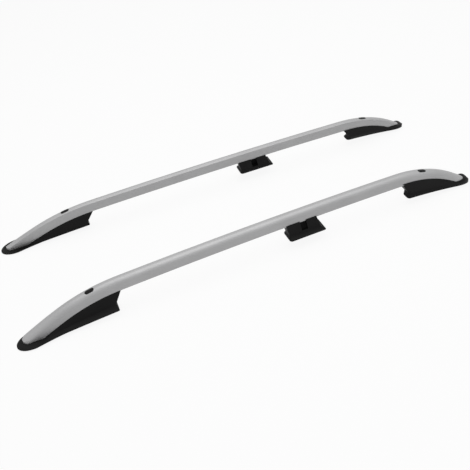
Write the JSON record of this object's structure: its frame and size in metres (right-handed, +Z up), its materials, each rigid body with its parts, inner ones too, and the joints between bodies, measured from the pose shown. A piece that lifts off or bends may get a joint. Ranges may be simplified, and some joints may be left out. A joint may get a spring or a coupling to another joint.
{
  "type": "roof side rail pair",
  "caption": "Mirrored pair of arched hollow aluminium roof side rails on black moulded end feet and middle feet, with oval screw caps and rubber gaskets.",
  "frame": {"origin": "centre of the pair's bounding box, at the level of the toes' undersides", "axes": "+X along the rails from the longer front feet to the rear feet, +Y to the left rail, +Z up from the roof"},
  "size_m": [1.8989, 0.6144, 0.144],
  "materials": {
    "rail_alloy": "satin anodised",
    "foot_plastic": "fine grained moulding",
    "gasket_rubber": "matt",
    "cast_alloy": "black coated casting",
    "cap_plastic": "smooth",
    "screw_steel": "zinc plated"
  },
  "bodies": {
    "root": {"left_front_bolt": "screw_steel", "left_front_bracket": "cast_alloy", "left_front_cap": "cap_plastic", "left_front_foot": "foot_plastic", "left_front_gasket": "gasket_rubber", "left_middle_bracket": "cast_alloy", "left_middle_foot": "foot_plastic", "left_middle_gasket": "gasket_rubber", "left_middle_nut": "screw_steel", "left_middle_screws": "screw_steel", "left_rail": "rail_alloy", "left_rear_bolt": "screw_steel", "left_rear_bracket": "cast_alloy", "left_rear_cap": "cap_plastic", "left_rear_foot": "foot_plastic", "left_rear_gasket": "gasket_rubber", "right_front_bolt": "screw_steel", "right_front_bracket": "cast_alloy", "right_front_cap": "cap_plastic", "right_front_foot": "foot_plastic", "right_front_gasket": "gasket_rubber", "right_middle_bracket": "cast_alloy", "right_middle_foot": "foot_plastic", "right_middle_gasket": "gasket_rubber", "right_middle_nut": "screw_steel", "right_middle_screws": "screw_steel", "right_rail": "rail_alloy", "right_rear_bolt": "screw_steel", "right_rear_bracket": "cast_alloy", "right_rear_cap": "cap_plastic", "right_rear_foot": "foot_plastic", "right_rear_gasket": "gasket_rubber"}
  },
  "joints": []
}
